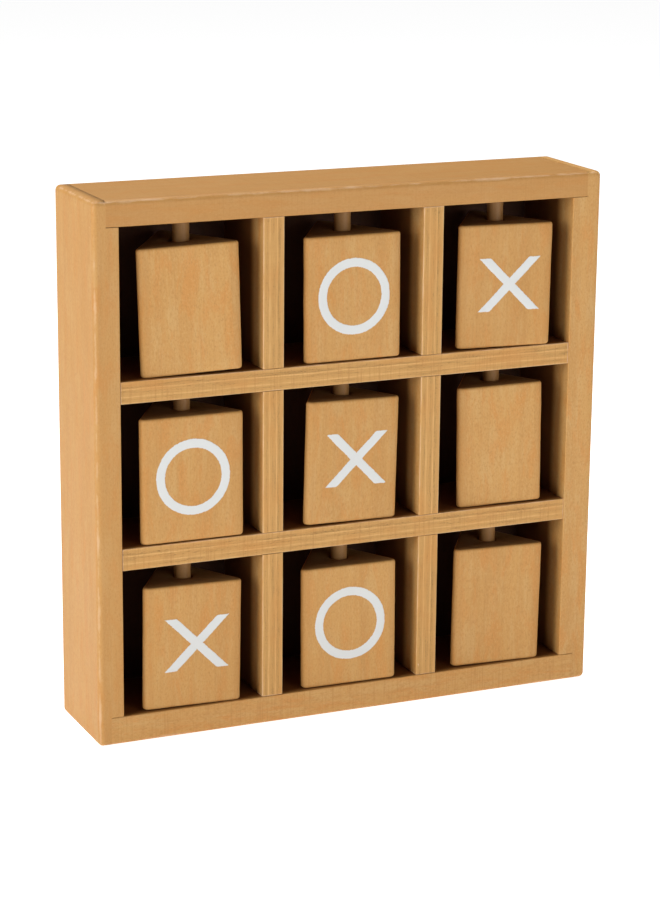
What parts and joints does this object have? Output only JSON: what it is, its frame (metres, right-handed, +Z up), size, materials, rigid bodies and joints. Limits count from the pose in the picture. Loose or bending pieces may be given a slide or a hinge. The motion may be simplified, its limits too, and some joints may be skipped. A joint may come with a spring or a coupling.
{
  "type": "tabletop noughts and crosses game",
  "caption": "Small upright wooden noughts-and-crosses frame with three-sided blocks that spin on dowels in a square grid of cells.",
  "frame": {"origin": "centre of the frame's underside", "axes": "+X to the right seen from the open front, +Y to the back, +Z up"},
  "size_m": [0.19, 0.04, 0.1893],
  "materials": {
    "board_wood": "honey stain, satin, sanded edges",
    "ply_wood": "stained plywood edges, satin",
    "panel_wood": "dark stain, matt",
    "dowel_wood": "brown stain, satin",
    "block_wood": "honey stain, satin"
  },
  "bodies": {
    "frame": {"left_side_board": "board_wood", "right_side_board": "board_wood", "top_board": "board_wood", "bottom_board": "board_wood", "back_panel": "panel_wood", "upper_shelf": "ply_wood", "lower_shelf": "ply_wood", "left_upright": "ply_wood", "right_upright": "ply_wood", "left_dowel": "dowel_wood", "middle_dowel": "dowel_wood", "right_dowel": "dowel_wood"},
    "block_top_left": {"block_top_left": "block_wood"},
    "block_top_middle": {"block_top_middle": "block_wood"},
    "block_top_right": {"block_top_right": "block_wood"},
    "block_centre_left": {"block_centre_left": "block_wood"},
    "block_centre_middle": {"block_centre_middle": "block_wood"},
    "block_centre_right": {"block_centre_right": "block_wood"},
    "block_bottom_left": {"block_bottom_left": "block_wood"},
    "block_bottom_middle": {"block_bottom_middle": "block_wood"},
    "block_bottom_right": {"block_bottom_right": "block_wood"}
  },
  "joints": [
    {"name": "spin_top_left", "type": "hinge", "parent": "frame", "child": "block_top_left", "pos_m": [-0.05978, -0.008, 0.15035], "axis": [0, 0, 1], "continuous": true},
    {"name": "spin_top_middle", "type": "hinge", "parent": "frame", "child": "block_top_middle", "pos_m": [-0.00025, -0.008, 0.15035], "axis": [0, 0, 1], "continuous": true},
    {"name": "spin_top_right", "type": "hinge", "parent": "frame", "child": "block_top_right", "pos_m": [0.05887, -0.008, 0.15035], "axis": [0, 0, 1], "continuous": true},
    {"name": "spin_centre_left", "type": "hinge", "parent": "frame", "child": "block_centre_left", "pos_m": [-0.05978, -0.008, 0.09225], "axis": [0, 0, 1], "continuous": true},
    {"name": "spin_centre_middle", "type": "hinge", "parent": "frame", "child": "block_centre_middle", "pos_m": [-0.00025, -0.008, 0.09225], "axis": [0, 0, 1], "continuous": true},
    {"name": "spin_centre_right", "type": "hinge", "parent": "frame", "child": "block_centre_right", "pos_m": [0.05887, -0.008, 0.09225], "axis": [0, 0, 1], "continuous": true},
    {"name": "spin_bottom_left", "type": "hinge", "parent": "frame", "child": "block_bottom_left", "pos_m": [-0.05978, -0.008, 0.0324], "axis": [0, 0, 1], "continuous": true},
    {"name": "spin_bottom_middle", "type": "hinge", "parent": "frame", "child": "block_bottom_middle", "pos_m": [-0.00025, -0.008, 0.0324], "axis": [0, 0, 1], "continuous": true},
    {"name": "spin_bottom_right", "type": "hinge", "parent": "frame", "child": "block_bottom_right", "pos_m": [0.05887, -0.008, 0.0324], "axis": [0, 0, 1], "continuous": true}
  ]
}
